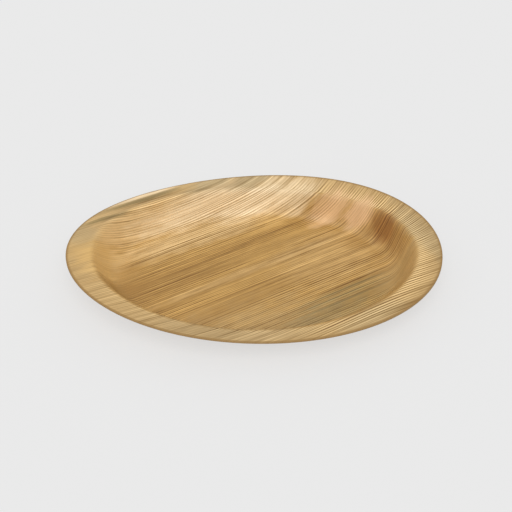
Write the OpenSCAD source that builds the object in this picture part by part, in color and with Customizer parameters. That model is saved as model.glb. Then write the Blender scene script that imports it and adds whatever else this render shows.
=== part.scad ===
// Oval plate pressed from one piece of palm leaf sheath.
// The long axis lies along X, the short axis along Y, and the plate rests on Z = 0.
// The sheath is laid out fibre by fibre: every row of points follows one fibre. All of them run
// straight across the flat sheath, and the press bends them over floor, wall, shoulder and rim.

/* [Outline] */
// Length over the rim
plate_length = 260; // [220:1:320]
// Width over the rim
plate_width = 165; // [145:1:200]
// Height of the mean cut edge above the table
rim_height = 22; // [16:0.5:28]

/* [Rim] */
// Width of the rim at the two long ends
rim_end = 16; // [10:0.5:22]
// Width of the rim at the two sides
rim_side = 11.5; // [8:0.5:18]
// How much higher the cut edge stands than the shoulder
rim_flare = 0.8; // [0:0.1:2]
// Radius of the shoulder on the upper face
shoulder_radius = 3.6; // [2.8:0.1:4.5]

/* [Wall] */
// Horizontal run of the wall at the two long ends
wall_end = 21.5; // [19:0.5:28]
// Horizontal run of the wall at the two sides
wall_side = 14; // [12.5:0.5:20]
// Radius of the heel on the upper face, at the two long ends
heel_end = 12; // [8:0.5:13]
// Radius of the heel on the upper face, at the two sides
heel_side = 6.5; // [4:0.5:7]

/* [Leaf] */
// Thickness of the pressed sheath
leaf_thickness = 2; // [1.2:0.1:2.4]
// Direction of the fibres on the floor, turned from the long axis
grain_angle = 29; // [10:1:60]
// Spacing of the main veins
vein_pitch = 4.6; // [4:0.1:8]
// Depth of the deepest furrow between two veins
vein_depth = 0.35; // [0.1:0.05:0.5]

/* [Spring-back] */
// How far the cut edge lifts and drops twice around the plate
edge_lift = 3.3; // [0:0.1:4]
// Place of the lifted part of the cut edge, turned from the long axis
edge_lift_angle = 33; // [0:1:90]
// How far the cut edge waves three times around the plate
edge_wave = 0.9; // [0:0.1:1.5]
// Place of the first crest of that wave, turned from the long axis
edge_wave_angle = 51; // [0:1:120]
// How far the shoulder lifts and drops twice around the plate
shoulder_lift = 2.8; // [0:0.1:3]
// Place of the lifted part of the shoulder, turned from the long axis
shoulder_lift_angle = 4; // [0:1:90]

/* [Hidden] */

leaf_colour = "burlywood";
shoulder_height = rim_height - rim_flare;
across = [-sin(grain_angle), cos(grain_angle)];
vein_count = ceil(plate_length / vein_pitch);
vein_seed = 7;
vein_strength = rands(0.35, 1, 2 * vein_count, vein_seed);
rim_steps = 2;
wall_steps = 10;
rings = rim_steps + wall_steps;
rim_rows = 8;
turn_step = 6;
turn_rows = 3;

// A ring is a closed line around the plate. Ring 0 is the cut edge, ring rim_steps the shoulder
// and the last ring the outline of the flat floor. On the wall they crowd towards both bends.
// Face 0 is the upper face of the leaf and face 1 the lower one.
function rim_share(ring) = min(ring / rim_steps, 1);
function wall_share(ring) = (1 - cos(180 * max(ring - rim_steps, 0) / wall_steps)) / 2;
function ring_x(ring, face) =
    plate_length / 2 - rim_end * rim_share(ring) - wall_end * wall_share(ring)
    + face * leaf_thickness * tilt(ring, 0);
function ring_y(ring, face) =
    plate_width / 2 - rim_side * rim_share(ring) - wall_side * wall_share(ring)
    + face * leaf_thickness * tilt(ring, 90);

// Height of the cut edge and of the shoulder at a turn around the plate, with the spring-back
// of the leaf after pressing
function edge_top(turn) =
    rim_height + edge_lift * cos(2 * (turn - edge_lift_angle))
    + edge_wave * cos(3 * (turn - edge_wave_angle));
function shoulder_top(turn) =
    shoulder_height + shoulder_lift * cos(2 * (turn - shoulder_lift_angle));

// Section of the wall at a turn: a shoulder arc, a straight slope and a heel arc, each tangent
// to the next, over the run and down the depth of the wall there
function run(turn) = norm([wall_end * cos(turn), wall_side * sin(turn)]);
function depth(turn) = shoulder_top(turn) - leaf_thickness;
function heel(turn) = heel_end * cos(turn)^2 + heel_side * sin(turn)^2;
function slope(turn) =
    let (radii = shoulder_radius + heel(turn), rest = radii - depth(turn))
    asin(radii / norm([run(turn), rest])) - atan2(rest, run(turn));
function slope_start(turn) = shoulder_radius * sin(slope(turn));
function slope_end(turn) = run(turn) - heel(turn) * sin(slope(turn));

// Sine of the angle of the leaf to the table on a ring, and its drop there below the shoulder
function tilt(ring, turn) =
    let (inwards = run(turn) * wall_share(ring))
    inwards < slope_start(turn) ? inwards / shoulder_radius
    : inwards < slope_end(turn) ? sin(slope(turn))
    : (run(turn) - inwards) / heel(turn);
function drop(ring, turn) =
    let (inwards = run(turn) * wall_share(ring), level = sqrt(1 - tilt(ring, turn)^2))
    inwards < slope_start(turn) ? shoulder_radius * (1 - level)
    : inwards < slope_end(turn)
    ? shoulder_radius * (1 - level) + (inwards - slope_start(turn)) * tan(slope(turn))
    : depth(turn) - heel(turn) * (1 - level);

// Point of a face on a ring, at a turn around the plate, before the veins are laid on
function height(ring, turn, face) =
    (
        ring <= rim_steps
        ? edge_top(turn) + (shoulder_top(turn) - edge_top(turn)) * rim_share(ring)
        : shoulder_top(turn) - drop(ring, turn)
    ) - face * leaf_thickness * sqrt(1 - tilt(ring, turn)^2);
function point(ring, turn, face) =
    [ring_x(ring, face) * cos(turn), ring_y(ring, face) * sin(turn), height(ring, turn, face)];

// Depth of the furrow between two veins, at an offset across the fibres of the upper face
function furrow(offset) =
    vein_depth * vein_strength[vein_count + floor(offset / vein_pitch)]
    * (1 - cos(360 * offset / vein_pitch)) / 2;

// Length of leaf that the wall takes up from a ring down to the floor, along its upper face
function arc(radius, angle) = radius * angle * PI / 180;
function wall_length(ring, turn) =
    let (
        inwards = run(turn) * wall_share(ring),
        angle = asin(tilt(ring, turn)),
        straight = slope_end(turn) - max(inwards, slope_start(turn))
    )
    inwards >= slope_end(turn) ? arc(heel(turn), angle)
    : arc(heel(turn), slope(turn)) + straight / cos(slope(turn))
    + (inwards < slope_start(turn) ? arc(shoulder_radius, slope(turn) - angle) : 0);

// Half axes of a ring on the flat sheath, before the press draws it in
function flat_x(ring) =
    ring_x(rings, 0) + wall_length(ring, 0) + rim_end * (1 - rim_share(ring));
function flat_y(ring) =
    ring_y(rings, 0) + wall_length(ring, 90) + rim_side * (1 - rim_share(ring));

// Furthest reach of a ring across the fibres of the flat sheath, and the turn of that place
function reach(ring) = norm([flat_x(ring) * across.x, flat_y(ring) * across.y]);
function reach_turn(ring) = atan2(flat_y(ring) * across.y, flat_x(ring) * across.x);

// Rows of points, one fibre each, as [offset across the fibres, ring that the fibre just touches].
// Rows on the floor touch no ring. They stand on the veins and in the furrows, and close
// together where they leave the outline of the floor.
touched_rings = concat(
    [for (i = [0:rim_rows - 1]) rim_steps * (i / rim_rows)^2],
    [for (ring = [rim_steps:0.5:rings]) ring]
);
floor_reach = reach(rings);
vein_rows = floor(floor_reach * cos(turn_step * turn_rows) / (vein_pitch / 2) - 0.5);
half_rows = concat(
    [for (ring = touched_rings) [reach(ring), ring]],
    [for (i = [1:turn_rows]) [floor_reach * cos(turn_step * i), rings + 1]],
    [for (i = [vein_rows:-1:1]) [i * vein_pitch / 2, rings + 1]]
);
rows = concat(
    half_rows,
    [[0, rings + 1]],
    [for (i = [len(half_rows) - 1:-1:0]) [-half_rows[i][0], half_rows[i][1]]]
);

// A row crosses every ring outside the one that it touches, first at its far end and then at its
// near end, and all its columns between lie together in its middle.
columns = 2 * rings + 3;
function column_ring(column) = min(column, columns - 1 - column);
function is_middle(row, column) = column_ring(column) >= row[1];
function crossing(row, column) =
    let (ring = column_ring(column), swing = acos(row[0] / reach(ring)))
    reach_turn(ring) + (column <= rings ? -swing : swing);
function middle(row, face) =
    row[1] <= rings
    ? point(row[1], reach_turn(row[1]) + (row[0] < 0 ? 180 : 0), face)
    : let (tip = point(rings, reach_turn(rings), face))
    [tip.x * row[0] / floor_reach, tip.y * row[0] / floor_reach, tip.z];
function leaf_point(row, column, face) =
    (
        is_middle(row, column) ? middle(row, face)
        : point(column_ring(column), crossing(row, column), face)
    ) - [0, 0, (1 - face) * furrow(row[0])];

// The sheath as one closed solid: upper face, lower face and the cut edge between them
module leaf_plate() {
    points = [
        for (face = [0, 1], row = rows, column = [0:columns - 1]) leaf_point(row, column, face)
    ];
    last = len(rows) - 1;
    below = len(points) / 2;
    function at(i, column) = i * columns + (is_middle(rows[i], column) ? rings + 1 : column);
    strips = [
        for (i = [0:last - 1], column = [0:columns - 2])
        let (
            a = at(i, column), b = at(i, column + 1),
            c = at(i + 1, column + 1), d = at(i + 1, column),
            leans_back = (column <= rings) == (rows[i + 1][0] >= 0)
        )
        each leans_back ? [[a, c, b], [a, d, c]] : [[a, d, b], [b, d, c]]
    ];
    upper = [for (t = strips) if (t[0] != t[1] && t[1] != t[2] && t[2] != t[0]) t];
    lower = [for (t = upper) [t[2] + below, t[1] + below, t[0] + below]];
    edge = concat([for (i = [0:last]) at(i, 0)], [for (i = [last - 1:-1:1]) at(i, columns - 1)]);
    cut = [
        for (i = [0:len(edge) - 1])
        let (a = edge[i], b = edge[(i + 1) % len(edge)])
        each [[a, b + below, b], [a, a + below, b + below]]
    ];
    color(leaf_colour) polyhedron(points, concat(upper, lower, cut));
}

leaf_plate();
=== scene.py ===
"""Looks of an oval plate pressed from one piece of palm leaf sheath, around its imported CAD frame.

The leaf is a surface of two parameters. Its rows are the fibres of the sheath and its columns the
rings of the plate: cut edge, rim, shoulder, wall, heel and floor. Lengths are in metres.
"""

import math

import bpy
import numpy as np
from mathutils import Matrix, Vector


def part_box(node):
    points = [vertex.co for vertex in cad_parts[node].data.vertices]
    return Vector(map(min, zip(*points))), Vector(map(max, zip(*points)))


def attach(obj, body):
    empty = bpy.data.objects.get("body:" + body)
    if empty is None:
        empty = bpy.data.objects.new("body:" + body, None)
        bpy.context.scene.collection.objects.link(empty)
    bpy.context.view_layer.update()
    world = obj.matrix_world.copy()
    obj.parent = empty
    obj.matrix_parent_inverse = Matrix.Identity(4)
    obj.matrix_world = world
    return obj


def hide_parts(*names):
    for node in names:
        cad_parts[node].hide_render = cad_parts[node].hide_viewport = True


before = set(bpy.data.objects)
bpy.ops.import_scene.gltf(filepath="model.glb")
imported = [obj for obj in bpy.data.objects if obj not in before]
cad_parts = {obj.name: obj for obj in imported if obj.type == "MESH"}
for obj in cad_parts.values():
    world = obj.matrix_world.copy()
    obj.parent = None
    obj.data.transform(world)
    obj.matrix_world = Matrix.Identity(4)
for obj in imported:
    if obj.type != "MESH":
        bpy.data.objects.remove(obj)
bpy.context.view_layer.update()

bl_info = {
    "name": "Palm leaf plate",
    "version": (1, 0, 0),
    "blender": (4, 5, 0),
    "location": "3D View > Sidebar > Plate",
    "description": "Builds an oval palm leaf plate and its studio",
    "category": "Add Mesh",
}

MM = 0.001
LOW, HIGH = (np.array(corner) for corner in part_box("leaf_plate"))
SIZE = HIGH - LOW

# Rings of the surface are numbered 0 at the cut edge, 1 at the shoulder, 2 where the flat floor
# begins and 3 at its centre.
EDGE, SHOULDER, HEEL, CENTRE = 0.0, 1.0, 2.0, 3.0
UPPER, LOWER = 0, 1


def length(name, text, default):
    """A length property in metres, named in the panel by name."""
    return bpy.props.FloatProperty(
        name=name, description=text, default=default, subtype="DISTANCE", unit="LENGTH", precision=4
    )


def angle(name, text, degrees):
    """An angle property, given in degrees."""
    return bpy.props.FloatProperty(
        name=name, description=text, default=math.radians(degrees), subtype="ANGLE"
    )


def linear(code):
    """Linear red, green, blue and alpha of an sRGB hex colour such as "b38a4e"."""
    parts = [int(code[i:i + 2], 16) / 255 for i in (0, 2, 4)]
    return [c / 12.92 if c <= 0.04045 else ((c + 0.055) / 1.055) ** 2.4 for c in parts] + [1.0]


def colour(name, text, code):
    """A colour property whose default is an sRGB hex colour."""
    return bpy.props.FloatVectorProperty(
        name=name, description=text, default=linear(code), size=4, min=0, max=1, subtype="COLOR"
    )


class LeafSizes(bpy.types.PropertyGroup):
    """Sizes of the pressed sheath. Overall length and width follow the CAD frame."""

    plate_length: length("Length", "Length over the rim", float(SIZE[0]))
    plate_width: length("Width", "Width over the rim", float(SIZE[1]))
    rim_height: length("Rim height", "Height of the mean cut edge above the table", 22 * MM)
    rim_end: length("Rim at ends", "Width of the rim at the long ends", 16 * MM)
    rim_side: length("Rim at sides", "Width of the rim at the sides", 11.5 * MM)
    rim_flare: length("Rim flare", "Height of the cut edge above the shoulder", 0.8 * MM)
    shoulder_radius: length("Shoulder radius", "Radius of the shoulder", 3.6 * MM)
    wall_end: length("Wall at ends", "Horizontal run of the wall at the long ends", 21.5 * MM)
    wall_side: length("Wall at sides", "Horizontal run of the wall at the sides", 14 * MM)
    heel_end: length("Heel at ends", "Radius of the heel at the long ends", 12 * MM)
    heel_side: length("Heel at sides", "Radius of the heel at the sides", 6.5 * MM)
    thickness: length("Leaf thickness", "Thickness of the pressed sheath", 2 * MM)
    grain: angle("Grain", "Direction of the fibres on the floor, from the long axis", 29)
    edge_lift: length("Edge lift", "How far the cut edge lifts twice around", 3.3 * MM)
    edge_lift_turn: angle("Edge lift turn", "Place of the lifted cut edge", 33)
    edge_wave: length("Edge wave", "How far the cut edge waves three times around", 0.9 * MM)
    edge_wave_turn: angle("Edge wave turn", "Place of the first crest of that wave", 51)
    shoulder_lift: length("Shoulder lift", "How far the shoulder lifts twice around", 2.8 * MM)
    shoulder_lift_turn: angle("Shoulder lift turn", "Place of the lifted shoulder", 4)
    cord_pitch: length("Cord pitch", "Spacing of the bundles of fibres", 1.65 * MM)
    cord_depth: length("Cord depth", "Height of a bundle of fibres over the furrows", 0.22 * MM)
    fan: angle("Fan", "How far the rim carries the fibres around at its most", 2.6)
    fan_turn: angle("Fan turn", "Place of the rim where the fibres fan out most", 55)
    groove_depth: length("Groove depth", "Depth of the groove beside the shoulder", 0.3 * MM)
    groove_turn: angle("Groove turn", "Place of the middle of that groove", 132)
    # The pleated rim is also painted lighter towards the shoulder there: a painted highlight.
    pleat_turn: angle("Pleat turn", "Place of the rim where the press pleats the leaf most", -5)
    left_pleat_turn: angle("Left pleat turn", "Place of the fainter pleats on the left", 200)
    # The outer lip is painted palest there: a painted highlight.
    lip_highlight_turn: angle("Lip turn", "Place of the rim whose outer lip is palest", 122)
    edge_round: length("Edge round", "Worn rounding of the cut edge", 0.35 * MM)


class LeafColours(bpy.types.PropertyGroup):
    """Colours of the dried sheath."""

    dark: colour("Dark fibre", "Colour of the darkest fibres", "97733c")
    ochre: colour("Ochre", "Main colour of the floor", "b88e4c")
    tan: colour("Tan", "Main colour of rim and wall", "c7a46c")
    # The palest colour is partly the sheath's own and partly a painted highlight on the far wall, the
    # far shoulder and the far-left lip.
    cream_and_highlight: colour("Cream", "Colour of the palest bands", "ecd0a4")
    sand: colour("Sand", "Colour of the pale bands", "d8b47c")
    # Gold is partly the sheath's own colour and partly painted light on the left wall.
    gold: colour("Gold", "Colour where the leaf is pressed smooth", "deb46e")
    rose: colour("Rose", "Colour of the pinkish patches", "e4b988")
    amber: colour("Amber", "Colour of the ripe bands", "a67c3d")
    drab: colour("Drab", "Colour of the weathered rim", "b1986c")
    olive: colour("Olive", "Colour of the greenish bands", "8c7443")
    stain: colour("Stain", "Colour of the brown stain", "96652c")
    floor: colour("Studio floor", "Colour of the studio floor", "eaeaea")


def ring_axes(leaf, ring, face):
    """Half length and half width of a ring. They shrink in proportion over the rim, by the wall's
    share over the wall and to nothing over the floor. The lower face stands off by the thickness
    times the sine of the leaf's tilt."""
    rim = np.clip(ring, EDGE, SHOULDER)
    wall = np.clip(ring - SHOULDER, 0, 1)
    floor = np.clip(CENTRE - ring, 0, 1)
    x = leaf.plate_length / 2 - leaf.rim_end * rim - leaf.wall_end * wall
    y = leaf.plate_width / 2 - leaf.rim_side * rim - leaf.wall_side * wall
    x = x + face * leaf.thickness * section(leaf, ring, 0.0)[1]
    y = y + face * leaf.thickness * section(leaf, ring, math.pi / 2)[1]
    return x * floor, y * floor


def shoulder_top(leaf, turn):
    """Height of the shoulder: its mean height plus a wave of two crests around the plate."""
    mean = leaf.rim_height - leaf.rim_flare
    return mean + leaf.shoulder_lift * np.cos(2 * (turn - leaf.shoulder_lift_turn))


def edge_top(leaf, turn):
    """Height of the cut edge: its mean height plus waves of two and of three crests."""
    return (
        leaf.rim_height
        + leaf.edge_lift * np.cos(2 * (turn - leaf.edge_lift_turn))
        + leaf.edge_wave * np.cos(3 * (turn - leaf.edge_wave_turn))
    )


def section(leaf, ring, turn):
    """Drop of the wall below the shoulder, sine of its tilt, and length of leaf from there down to
    the floor. The section is an arc, a straight slope and an arc, tangent to each other, so the
    slope's angle is arcsine(R / h) - arctangent((R - depth) / run), where R is the sum of both
    radii and h the hypotenuse of run and R - depth."""
    ring, turn = np.broadcast_arrays(ring, turn)
    run = np.hypot(leaf.wall_end * np.cos(turn), leaf.wall_side * np.sin(turn))
    depth = shoulder_top(leaf, turn) - leaf.thickness
    top = leaf.shoulder_radius
    heel = leaf.heel_end * np.cos(turn) ** 2 + leaf.heel_side * np.sin(turn) ** 2
    rest = top + heel - depth
    slope = np.arcsin((top + heel) / np.hypot(run, rest)) - np.arctan2(rest, run)
    start, end = top * np.sin(slope), run - heel * np.sin(slope)
    inwards = run * np.clip(ring - SHOULDER, 0, 1)
    on_top, on_slope = inwards < start, inwards < end
    tilt = np.where(on_top, inwards / top, np.where(on_slope, np.sin(slope), (run - inwards) / heel))
    level = np.sqrt(1 - tilt**2)
    straight = top * (1 - np.cos(slope)) + (inwards - start) * np.tan(slope)
    drop = np.where(on_top, top * (1 - level), np.where(on_slope, straight, depth - heel * (1 - level)))
    whole = heel * slope + (end - start) / np.cos(slope)
    left = np.where(
        on_top,
        whole + top * (slope - np.arcsin(np.clip(tilt, -1, 1))),
        np.where(on_slope, heel * slope + (end - inwards) / np.cos(slope), heel * np.arcsin(tilt)),
    )
    return drop, tilt, left


def leaf_point(leaf, ring, turn, face):
    """Point of a face: an ellipse at the ring's half axes, at the height of rim, wall or floor,
    less the thickness times the cosine of the tilt on the lower face."""
    x, y = ring_axes(leaf, ring, face)
    drop, tilt, _ = section(leaf, ring, turn)
    rim = np.clip(ring, EDGE, SHOULDER)
    edge, shoulder = edge_top(leaf, turn), shoulder_top(leaf, turn)
    height = np.where(ring <= SHOULDER, edge + (shoulder - edge) * rim, shoulder - drop)
    height = height - face * leaf.thickness * np.sqrt(1 - tilt**2)
    return np.stack([x * np.cos(turn), y * np.sin(turn), height], -1)


def blank_axes(leaf, ring):
    """Half length and half width of a ring on the flat sheath before it is pressed: the floor's
    axes plus the length of leaf that the wall and the rim take up."""
    rim = SHOULDER - np.clip(ring, EDGE, SHOULDER)
    floor = np.clip(CENTRE - ring, 0, 1)
    x = leaf.plate_length / 2 - leaf.rim_end - leaf.wall_end
    y = leaf.plate_width / 2 - leaf.rim_side - leaf.wall_side
    x = x * floor + section(leaf, ring, 0.0)[2] + leaf.rim_end * rim
    y = y * floor + section(leaf, ring, math.pi / 2)[2] + leaf.rim_side * rim
    return x, y


# Value noises: seed, and the pitch of their lattice along and across the fibres
WANDER = (31, 120 * MM, 5 * MM)
STRENGTH = (32, 70 * MM, 5 * MM)
FINE = (33, 35 * MM, 0.8 * MM)
LATTICE = 256


def value_noise(noise, along, across):
    """Smooth random values from -1 to 1: random heights on a lattice that repeats, blended by a
    smooth step, 3 t squared - 2 t cubed, along and across the fibres."""
    seed, pitch_along, pitch_across = noise
    lattice = np.random.default_rng(seed).uniform(-1, 1, (LATTICE, LATTICE))
    x, y = along / pitch_along, across / pitch_across
    column, row = np.floor(x).astype(int), np.floor(y).astype(int)
    u, v = x - column, y - row
    u, v = u * u * (3 - 2 * u), v * v * (3 - 2 * v)
    left, right = column % LATTICE, (column + 1) % LATTICE
    low, high = row % LATTICE, (row + 1) % LATTICE
    near = lattice[low, left] * (1 - u) + lattice[low, right] * u
    far = lattice[high, left] * (1 - u) + lattice[high, right] * u
    return near * (1 - v) + far * v


# Middle and half width of the groove beside the shoulder, and the worn part of the rim, as rings
GROOVE_RING, GROOVE_WIDTH = 0.86, 0.13
WORN_RING = 0.03
# Wall that is pressed smooth: place along and across the fibres, half length and half width
SMOOTH = (-98 * MM, 52 * MM, 36 * MM, 30 * MM)
# Steps of the surface over rim, wall and floor on each side of a row, and the number of rows
RIM_RINGS, WALL_RINGS, FLOOR_RINGS, FIBRE_ROWS = 6, 14, 4, 1000


def fibre_grid(leaf):
    """Ring, turn and place along and across the fibres of every point of the sheet.

    Row offsets are the sheet's reach times the sine of evenly spaced angles. A row meets a ring at
    the turn where the fibre's offset equals the ring's reach times the cosine of the angle from
    the ring's furthest turn. Columns inside the ring that a row only just touches lie together."""
    half = np.concatenate([
        [EDGE, 0.4 * WORN_RING],
        np.linspace(WORN_RING, SHOULDER, RIM_RINGS, endpoint=False),
        SHOULDER + (1 - np.cos(np.linspace(0, math.pi, WALL_RINGS, endpoint=False))) / 2,
        np.linspace(HEEL, CENTRE, FLOOR_RINGS, endpoint=False),
    ])
    rings = np.concatenate([half, [CENTRE], half[::-1]])
    side = np.concatenate([-np.ones(len(half)), [0.0], np.ones(len(half))])
    across = np.array([-math.sin(leaf.grain), math.cos(leaf.grain)])

    def reach(ring):
        x, y = blank_axes(leaf, ring)
        return np.hypot(x * across[0], y * across[1])

    table = np.linspace(CENTRE, EDGE, 2000)
    swing = np.linspace(-math.pi / 2, math.pi / 2, FIBRE_ROWS)
    offset = (reach(EDGE) * np.sin(swing))[:, None]
    touched = np.interp(np.abs(offset), reach(table), table)
    ring = np.minimum(rings, touched)
    x, y = blank_axes(leaf, ring)
    share = np.clip(offset / np.maximum(reach(ring), 1e-9), -1, 1)
    collapsed = rings >= touched
    swung = np.where(collapsed, np.where(offset < 0, math.pi, 0), side * np.arccos(share))
    turn = np.arctan2(y * across[1], x * across[0]) + swung
    along = x * np.cos(turn) * across[1] - y * np.sin(turn) * across[0]
    return ring, turn, along, np.broadcast_to(offset, ring.shape), collapsed


def fan(leaf, ring, turn):
    """Turn of a point on the pressed plate. The rim, as it is drawn in, carries its fibres around
    by the square of the cosine of the angle from the place where they fan out most."""
    outwards = np.clip(SHOULDER - ring, 0, 1)
    return turn + leaf.fan * outwards * np.clip(np.cos(turn - leaf.fan_turn), 0, 1) ** 2


def groove(leaf, ring, turn):
    """Groove that the die pressed into the rim beside the shoulder, from 0 to 1: a bell curve over
    the rim, fading by the eighth power of the cosine of the angle from its middle."""
    bell = np.exp(-((ring - GROOVE_RING) / GROOVE_WIDTH) ** 2)
    return bell * np.clip(np.cos(turn - leaf.groove_turn), 0, 1) ** 8


def ridges(leaf, ring, turn, along, offset):
    """Relief of the bundles of fibres, from -1 in a furrow to 1 on a crest, and the highlights and
    shade painted on the rim.

    The relief is a wave across the fibres with broad crests and narrow furrows, whose phase
    wanders and whose strength follows a value noise, with finer noise upon it. On the rim it
    fades towards the cut edge and follows the cosine of the angle from the place that the press
    pleats most. It fades by a bell curve in the wall that is pressed smooth. The rim is painted
    lighter towards the shoulder and darker towards the cut edge where it is pleated, a painted
    highlight on the shoulder, and lighter along its outer lip at the far left, a painted highlight
    on the lip."""
    swing = 2 * math.pi * offset / leaf.cord_pitch + 3 * value_noise(WANDER, along, offset)
    cord = 2 * (0.5 + 0.5 * np.sin(swing)) ** 0.6 - 1.15
    strength = np.clip(0.55 + 0.7 * value_noise(STRENGTH, along, offset), 0, 1)
    rim = np.clip((SHOULDER + 0.12 - ring) / 0.2, 0, 1)
    pleat = np.clip(0.15 + 0.85 * np.cos(turn - leaf.pleat_turn), 0.04, 1)
    pleat = pleat + 0.25 * np.clip(np.cos(turn - leaf.left_pleat_turn), 0, 1) ** 2
    strength = strength * (1 - rim) + pleat * np.clip((ring - 0.1) / 0.6, 0, 1) * rim
    at_along, at_across, half_along, half_across = SMOOTH
    smooth = ((along - at_along) / half_along) ** 2 + ((offset - at_across) / half_across) ** 2
    fine = 0.4 * value_noise(FINE, along, offset) * (1 - 0.5 * rim)
    relief = (cord * strength + fine) * (1 - 0.7 * np.exp(-smooth))
    # Painted light on the rim: lighter towards the shoulder and darker towards the cut edge where it is
    # pleated, a painted highlight on the shoulder, and lighter along the outer lip at the far left, a
    # painted highlight on the lip.
    lip = np.clip(np.cos(turn - leaf.lip_highlight_turn), 0, 1) ** 4 * np.clip(1.5 - 2.2 * ring, 0, 1)
    paler = 0.35 * rim * pleat * (np.clip(ring, EDGE, SHOULDER) - 0.5) + 0.28 * lip
    return relief, paler


def leaf_mesh(leaf):
    """The closed sheet: upper face, lower face and the cut edge between them, joined row by row.
    Each four-sided cell is split along its shorter diagonal."""
    ring, turn, along, offset, collapsed = fibre_grid(leaf)
    rows, columns = ring.shape
    centre = columns // 2
    turn = fan(leaf, ring, turn)
    upper = leaf_point(leaf, ring, turn, UPPER)
    lower = leaf_point(leaf, ring, turn, LOWER)
    step = 1e-4  # of a ring and of a radian, for the directions of the surface
    inwards = leaf_point(leaf, ring + step, turn, UPPER) - leaf_point(leaf, ring - step, turn, UPPER)
    around = leaf_point(leaf, ring, turn + step, UPPER) - leaf_point(leaf, ring, turn - step, UPPER)
    normal = np.where(ring[..., None] >= HEEL, [0.0, 0.0, 1.0], np.cross(around, inwards))
    normal = normal / np.maximum(np.linalg.norm(normal, axis=-1, keepdims=True), 1e-12)
    ridge, paler = ridges(leaf, ring, turn, along, offset)
    worn = leaf.edge_round * np.clip(1 - ring / WORN_RING, 0, 1) ** 2
    dent = groove(leaf, ring, turn)
    lift = leaf.cord_depth / 2 * ridge - leaf.groove_depth * dent - worn
    upper = upper + normal * lift[..., None]
    lower[..., 2] += worn

    index = np.arange(rows * columns).reshape(rows, columns)
    index = np.where(collapsed, index[:, centre:centre + 1], index)
    a, b = index[:-1, :-1], index[:-1, 1:]
    c, d = index[1:, 1:], index[1:, :-1]
    first_half = np.arange(columns - 1) < centre
    low_rows = offset[:-1, :1] + offset[1:, :1] < 0
    leans = (first_half != low_rows)[..., None]
    first = np.where(leans, np.stack([a, b, d], -1), np.stack([a, b, c], -1))
    second = np.where(leans, np.stack([b, c, d], -1), np.stack([a, c, d], -1))
    top = np.concatenate([first.reshape(-1, 3), second.reshape(-1, 3)])
    whole = (top[:, 0] != top[:, 1]) & (top[:, 1] != top[:, 2]) & (top[:, 2] != top[:, 0])
    top = top[whole]
    loop = np.concatenate([index[:, 0], index[-2:0:-1, -1]])
    ahead = np.roll(loop, -1)
    below = rows * columns
    cut = np.concatenate([
        np.stack([loop, ahead, ahead + below], -1), np.stack([loop, ahead + below, loop + below], -1)
    ])
    points = np.concatenate([upper.reshape(-1, 3), lower.reshape(-1, 3)])
    faces = np.concatenate([top, top[:, ::-1] + below, cut])
    fibre = np.stack([along / MM, offset / MM, ring], -1).reshape(-1, 3)
    # The groove is painted darker too: painted shade in the recess beside the shoulder.
    paler = paler - 0.3 * dent
    marks = {"ridge": np.tile(ridge.ravel(), 2), "paler": np.tile(paler.ravel(), 2)}
    return points, faces, np.tile(fibre, (2, 1)), marks


def make_object(name, points, faces, fibre, marks, material):
    """A mesh object with its place in its mesh, keeping only the points that a face uses."""
    used, compact = np.unique(faces, return_inverse=True)
    mesh = bpy.data.meshes.new(name)
    mesh.from_pydata(points[used], [], compact.reshape(faces.shape))
    layer = mesh.attributes.new("fibre", "FLOAT_VECTOR", "POINT")
    layer.data.foreach_set("vector", fibre[used].astype(np.float32).ravel())
    for mark, values in marks.items():
        layer = mesh.attributes.new(mark, "FLOAT", "POINT")
        layer.data.foreach_set("value", values[used].astype(np.float32))
    mesh.materials.append(material)
    mesh.polygons.foreach_set("use_smooth", np.ones(len(faces), bool))
    mesh.update()
    obj = bpy.data.objects.new(name, mesh)
    bpy.context.scene.collection.objects.link(obj)
    return obj


def is_closed(mesh):
    """Whether every edge of a mesh of triangles has two faces, and no point is out of bounds."""
    edges = np.empty(len(mesh.loops), np.int32)
    mesh.loops.foreach_get("edge_index", edges)
    points = np.empty(len(mesh.vertices) * 3, np.float32)
    mesh.vertices.foreach_get("co", points)
    return bool((np.bincount(edges) == 2).all() and np.isfinite(points).all())


def add(tree, kind, inputs=None, out=None, **settings):
    """Adds a node with its settings and gives each input a value or a link. Returns its output
    named out, or else its first one in use."""
    node = tree.nodes.new("ShaderNode" + kind)
    for name, value in settings.items():
        setattr(node, name, value)
    for name, value in (inputs or {}).items():
        if isinstance(value, bpy.types.NodeSocket):
            tree.links.new(value, node.inputs[name])
        else:
            node.inputs[name].default_value = value
    return node.outputs[out] if out else next(socket for socket in node.outputs if socket.enabled)


# Streaks that lighten and darken the leaf: millimetres along and across, seed, detail, amount
STREAKS = (
    (170, 10, 3, 1, 0.4),
    (140, 3.2, 8, 1, 0.18),
    (90, 0.8, 15, 2, 0.65),
    (12, 0.6, 27, 1, 0.45),
    (9, 6, 33, 2, 0.15),
)
# Single fibres that stand out: millimetres along and across, seed, threshold, amount
FIBRES = (
    (140, 1.3, 41, 0.66, -0.35),
    (100, 1.1, 57, 0.67, 0.35),
)
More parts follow.
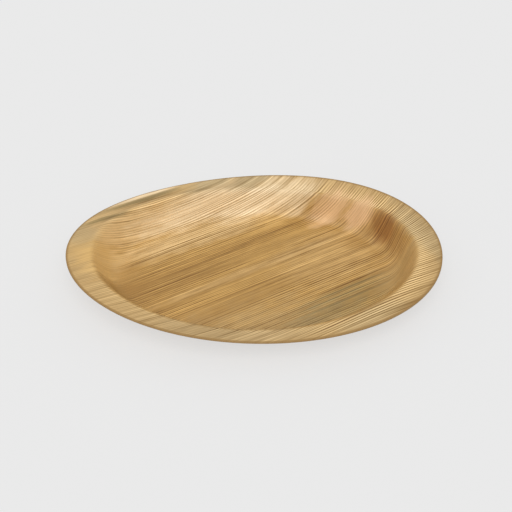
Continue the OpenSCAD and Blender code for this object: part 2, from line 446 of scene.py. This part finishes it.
# Patches where the sheath ripened or was stained otherwise, and patches of painted light where noted:
# place along and across the fibres, half length and half width in millimetres, colour, strength,
# how far the streaks fade there
PATCHES = (
    (60, -12, 45, 26, "sand", 0.25, 0),
    # Left wall: painted lighter with gold, partly its own colour and partly painted light.
    (-98, 55, 25, 29, "gold", 0.85, 0.7),
    (-88, 26, 16, 12, "amber", 0.7, 0.6),
    (-80, 44, 13, 9, "amber", 0.5, 0.5),
    # Far-left upper wall and shoulder: painted lighter, painted light where the shoulder falls into
    # shade.
    (-60, 78, 50, 14, "sand", 0.8, 0.3),
    (-15, 54, 70, 12, "sand", 0.8, 0),
    # Far upper wall and shoulder: painted lighter, partly the wall's paler colour and partly painted
    # light where the shoulder falls into shade.
    (0, 76, 55, 14, "cream_and_highlight", 0.7, 0.1),
    (-35, 88, 30, 6, "sand", 0.6, 0),
    # Far wall: painted lighter, partly its paler colour and partly a painted highlight.
    (38, 60, 34, 11, "cream_and_highlight", 1, 0.2),
    (62, 46, 24, 10, "cream_and_highlight", 0.85, 0.2),
    (12, 45, 30, 6, "sand", 0.5, 0),
    (-15, 27, 90, 6, "amber", 0.7, 0),
    (-50, 15, 45, 5, "amber", 0.5, 0.2),
    (5, 3, 90, 3.5, "sand", 0.3, 0),
    (-35, -20, 40, 11, "amber", 0.5, 0.4),
    (50, -51, 50, 10, "olive", 0.5, 0),
    (25, -62, 50, 7, "olive", 0.7, 0),
    (50, -45, 34, 0.8, "olive", 0.9, 0),
    (40, -49.5, 42, 0.8, "olive", 1, 0),
    (34, -54, 42, 0.8, "olive", 1, 0),
    (38, 41, 15, 7, "gold", 0.6, 0.3),
    (80, 24, 20, 10, "rose", 0.75, 0.5),
    (96, 6, 15, 9, "rose", 0.95, 0.6),
    (82, -9, 12, 8, "amber", 0.6, 0),
    (103, -30, 12, 15, "stain", 0.35, 0),
    (103, -16, 12, 11, "stain", 0.95, 0),
    (92, -60, 24, 24, "sand", 0.25, 0.4),
    (20, 91, 32, 7, "drab", 0.9, 0),
    (46, 78, 24, 9, "drab", 0.9, 0),
    # Far-left rim: its outer part painted lighter, a painted highlight along with the lip.
    (-42, 105, 50, 6, "cream_and_highlight", 0.8, 0.4),
    (-108, 80, 14, 14, "drab", 0.6, 0),
    (42, -100, 30, 9, "drab", 0.5, 0),
    (-45, -78, 26, 9, "sand", 0.4, 0),
    (-84, 89, 22, 2.6, "olive", 0.85, 0),
    (-48, 98, 38, 2.8, "olive", 0.85, 0),
    (-60, -60, 90, 38, "drab", 0.4, 0.1),
    (122, -50, 10, 40, "drab", 0.6, 0),
)


# Of dried palm sheath: cellulose with a thin wax, flattened by the hot die to a dull sheen
LEAF_ROUGHNESS = 0.52
LEAF_IOR = 1.5


def leaf_material(colours):
    """Areca palm leaf: the sheath that falls with the leaf, dried in the sun, soaked, pressed
    damp between hot steel dies, trimmed and left unfinished."""
    # Sun-dried: every bundle of fibres keeps its own brown, so the colour runs in long streaks.
    # Ripened unevenly: broad bands and patches are lighter, greener or stained. Some patches are
    # painted light, on the far wall, the far shoulder, the left wall and the far-left lip.
    # Pressed hot: crests are painted lighter than furrows, most on the pleated rim: a painted dull
    # sheen on the crests and painted shade in the furrows.
    # Cut by the die: the edge shows the ends of the fibres, which are darker.
    material = bpy.data.materials.new("dried palm leaf sheath")
    material.use_nodes = True
    tree = material.node_tree
    shader = tree.nodes["Principled BSDF"]
    fibre = add(tree, "Attribute", out="Vector", attribute_name="fibre")
    ridge = add(tree, "Attribute", out="Fac", attribute_name="ridge")
    paler = add(tree, "Attribute", out="Fac", attribute_name="paler")
    ring = add(tree, "SeparateXYZ", {"Vector": fibre}, out="Z")
    flat = add(tree, "VectorMath", {0: fibre, 1: (1, 1, 0)}, operation="MULTIPLY")

    def streak(along, across, seed, detail):
        place = {0: flat, 1: (1 / along, 1 / across, 0), 2: (seed, seed * 1.7, 0)}
        place = add(tree, "VectorMath", place, operation="MULTIPLY_ADD")
        noise = {"Vector": place, "Scale": 1, "Detail": detail, "Roughness": 0.55}
        return add(tree, "TexNoise", noise, noise_dimensions="2D")

    rim = {"Value": ring, "From Min": 1.12, "From Max": 0.95}
    rim = add(tree, "MapRange", rim, interpolation_type="SMOOTHSTEP")
    tone = -sum(amount for *_, amount in STREAKS) / 2
    for along, across, seed, detail, amount in STREAKS:
        noise = streak(along, across, seed, detail)
        tone = add(tree, "Math", {0: noise, 1: amount, 2: tone}, operation="MULTIPLY_ADD")
    even = add(tree, "Math", {0: rim, 1: -0.35, 2: 1}, operation="MULTIPLY_ADD")
    tone = add(tree, "Math", {0: tone, 1: even}, operation="MULTIPLY")
    # Crests are painted lighter and furrows darker, most on the rim: painted sheen on the crests and
    # painted shade in the furrows.
    depth = add(tree, "Math", {0: rim, 1: 0.45, 2: 0.5}, operation="MULTIPLY_ADD")
    tone = add(tree, "Math", {0: ridge, 1: depth, 2: tone}, operation="MULTIPLY_ADD")
    for along, across, seed, threshold, amount in FIBRES:
        noise = streak(along, across, seed, 1)
        line = {"Value": noise, "From Min": threshold - 0.05, "From Max": threshold + 0.05}
        line = add(tree, "MapRange", line, interpolation_type="SMOOTHSTEP")
        tone = add(tree, "Math", {0: line, 1: amount, 2: tone}, operation="MULTIPLY_ADD")

    wobble = {0: streak(16, 5, 71, 3), 1: 0.9, 2: -0.45}
    wobble = add(tree, "Math", wobble, operation="MULTIPLY_ADD")
    hue = add(tree, "Mix", {"Factor": rim, "A": colours.ochre, "B": colours.tan}, data_type="RGBA")
    for along, across, half_along, half_across, name, strength, calm in PATCHES:
        place = add(tree, "VectorMath", {0: flat, 1: (along, across, 0)}, operation="SUBTRACT")
        place = {0: place, 1: (1 / half_along, 1 / half_across, 0)}
        place = add(tree, "VectorMath", place, operation="MULTIPLY")
        reach = add(tree, "VectorMath", {0: place}, out="Value", operation="LENGTH")
        reach = add(tree, "Math", {0: reach, 1: wobble}, operation="ADD")
        mask = {"Value": reach, "From Min": 1.4, "From Max": 0.4}
        mask = add(tree, "MapRange", mask, interpolation_type="SMOOTHSTEP")
        weight = add(tree, "Math", {0: mask, 1: strength}, operation="MULTIPLY")
        patch = {"Factor": weight, "A": hue, "B": getattr(colours, name)}
        hue = add(tree, "Mix", patch, data_type="RGBA")
        if calm:
            keep = add(tree, "Math", {0: mask, 1: -calm, 2: 1}, operation="MULTIPLY_ADD")
            tone = add(tree, "Math", {0: tone, 1: keep}, operation="MULTIPLY")

    # Adds the painted highlights of the rim and the painted shade of the groove.
    tone = add(tree, "Math", {0: tone, 1: paler}, operation="ADD")
    shade = {0: tone, 1: (0.95, 1.1, 1.4), 2: (1, 1, 1)}
    shade = add(tree, "VectorMath", shade, operation="MULTIPLY_ADD")
    tint = add(tree, "VectorMath", {0: hue, 1: shade}, operation="MULTIPLY")
    cut = {"Value": ring, "From Min": 0.13, "From Max": 0.03, "To Max": 0.85}
    cut = add(tree, "MapRange", cut)
    tint = add(tree, "Mix", {"Factor": cut, "A": tint, "B": colours.dark}, data_type="RGBA")
    tree.links.new(tint, shader.inputs["Base Color"])
    shader.inputs["Roughness"].default_value = LEAF_ROUGHNESS
    shader.inputs["IOR"].default_value = LEAF_IOR
    bump = {"Height": tone, "Strength": 0.25, "Distance": 0.25 * MM}
    tree.links.new(add(tree, "Bump", bump), shader.inputs["Normal"])
    return material


class PLATE_OT_leaf(bpy.types.Operator):
    """Build the pressed sheath and let it stand for the CAD node"""

    bl_idname = "plate.leaf"
    bl_label = "Leaf plate"

    def execute(self, context):
        sizes, colours = context.scene.leaf_sizes, context.scene.leaf_colours
        plate = make_object("leaf_plate_sheet", *leaf_mesh(sizes), leaf_material(colours))
        if not is_closed(plate.data):
            raise RuntimeError("The sheet of the leaf isn't closed")
        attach(plate, "root")
        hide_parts("leaf_plate")
        return {"FINISHED"}


# Strengths of the light table, the tent and the key lamp. Together they show a colour as written.
TABLE_GLOW = 0.73
TENT_LIGHT, TENT_SEEN = 0.62, 0.82
KEY_LIGHT = 0.43 * math.pi
KEY_SPREAD = math.radians(50)
KEY_SIDE = (0.0, -0.5, 0.87)

# Camera that was fitted to the rim and the shoulder in the photo, with its picture in pixels
PHOTO_PIXELS = 512
FOCAL_PIXELS = 1173.6
AIM_PIXEL = (254.35, 251.27)
CAMERA_DISTANCE = 0.812
CAMERA_ELEVATION = math.radians(44.3)
SENSOR_MM = 36


def floor_material(colour):
    """White acrylic light table, cast as a sheet and lit from below."""
    # Lit from below: the camera sees it glow, so shadows on it are faint and soft.
    # Cast acrylic: to the plate it is a plain white surface.
    material = bpy.data.materials.new("white light table")
    material.use_nodes = True
    tree = material.node_tree
    glow = {0: add(tree, "LightPath", out="Is Camera Ray"), 1: TABLE_GLOW}
    glow = add(tree, "Math", glow, operation="MULTIPLY")
    matt = add(tree, "BsdfDiffuse", {"Color": colour})
    light = add(tree, "Emission", {"Color": colour, "Strength": 1})
    mixed = add(tree, "MixShader", {0: glow, 1: matt, 2: light})
    tree.links.new(mixed, tree.nodes["Material Output"].inputs["Surface"])
    return material


def studio_world():
    """White tent around the table: an even light, and as pale as the table to the camera."""
    world = bpy.data.worlds.new("white tent")
    world.use_nodes = True
    tree = world.node_tree
    background = tree.nodes["Background"]
    background.inputs["Color"].default_value = (1, 1, 1, 1)
    camera = add(tree, "LightPath", out="Is Camera Ray")
    seen = {"Value": camera, "To Min": TENT_LIGHT, "To Max": TENT_SEEN}
    tree.links.new(add(tree, "MapRange", seen), background.inputs["Strength"])
    return world


class PLATE_OT_studio(bpy.types.Operator):
    """Lay the pale floor, set the lamps and place the camera"""

    bl_idname = "plate.studio"
    bl_label = "Studio"

    def execute(self, context):
        scene = context.scene
        colours = scene.leaf_colours
        scene.view_settings.view_transform = "Standard"
        mesh = bpy.data.meshes.new("studio_floor")
        corners = [(-4, -4, 0), (4, -4, 0), (4, 4, 0), (-4, 4, 0)]
        mesh.from_pydata(corners, [], [(0, 1, 2, 3)])
        ground = bpy.data.objects.new("studio_floor", mesh)
        scene.collection.objects.link(ground)
        mesh.materials.append(floor_material(colours.floor))

        scene.world = studio_world()
        lamp = bpy.data.lights.new("key", "SUN")
        lamp.energy = KEY_LIGHT
        lamp.angle = KEY_SPREAD
        key = bpy.data.objects.new("key", lamp)
        key.rotation_euler = Vector(KEY_SIDE).to_track_quat("Z", "Y").to_euler()
        scene.collection.objects.link(key)

        aim = Vector((0, 0, scene.leaf_sizes.rim_height))
        back = Vector((0, -math.cos(CAMERA_ELEVATION), math.sin(CAMERA_ELEVATION)))
        lens = bpy.data.cameras.new("camera")
        lens.sensor_width = SENSOR_MM
        lens.lens = FOCAL_PIXELS / PHOTO_PIXELS * SENSOR_MM
        lens.shift_x = 0.5 - AIM_PIXEL[0] / PHOTO_PIXELS
        lens.shift_y = AIM_PIXEL[1] / PHOTO_PIXELS - 0.5
        lens.clip_start = 0.01
        camera = bpy.data.objects.new("camera", lens)
        camera.location = aim + back * CAMERA_DISTANCE
        camera.rotation_euler = back.to_track_quat("Z", "Y").to_euler()
        scene.collection.objects.link(camera)
        scene.camera = camera
        if not ground.data.materials or scene.world is None:
            raise RuntimeError("The studio has no floor material or no world")
        return {"FINISHED"}


class PLATE_PT_panel(bpy.types.Panel):
    """Lists the pieces of the plate"""

    bl_idname = "PLATE_PT_panel"
    bl_label = "Palm leaf plate"
    bl_space_type = "VIEW_3D"
    bl_region_type = "UI"
    bl_category = "Plate"

    def draw(self, context):
        self.layout.operator("plate.leaf")
        self.layout.operator("plate.studio")


CLASSES = (LeafSizes, LeafColours, PLATE_OT_leaf, PLATE_OT_studio, PLATE_PT_panel)


def register():
    """Registers the classes, and the sizes and colours on the scene."""
    for cls in CLASSES:
        bpy.utils.register_class(cls)
    bpy.types.Scene.leaf_sizes = bpy.props.PointerProperty(type=LeafSizes)
    bpy.types.Scene.leaf_colours = bpy.props.PointerProperty(type=LeafColours)


def unregister():
    """Undoes what register did, in the opposite order."""
    del bpy.types.Scene.leaf_colours
    del bpy.types.Scene.leaf_sizes
    for cls in reversed(CLASSES):
        bpy.utils.unregister_class(cls)


def main():
    """Registers the add-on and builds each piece."""
    register()
    bpy.ops.plate.leaf()
    bpy.ops.plate.studio()


if __name__ == "__main__":
    main()
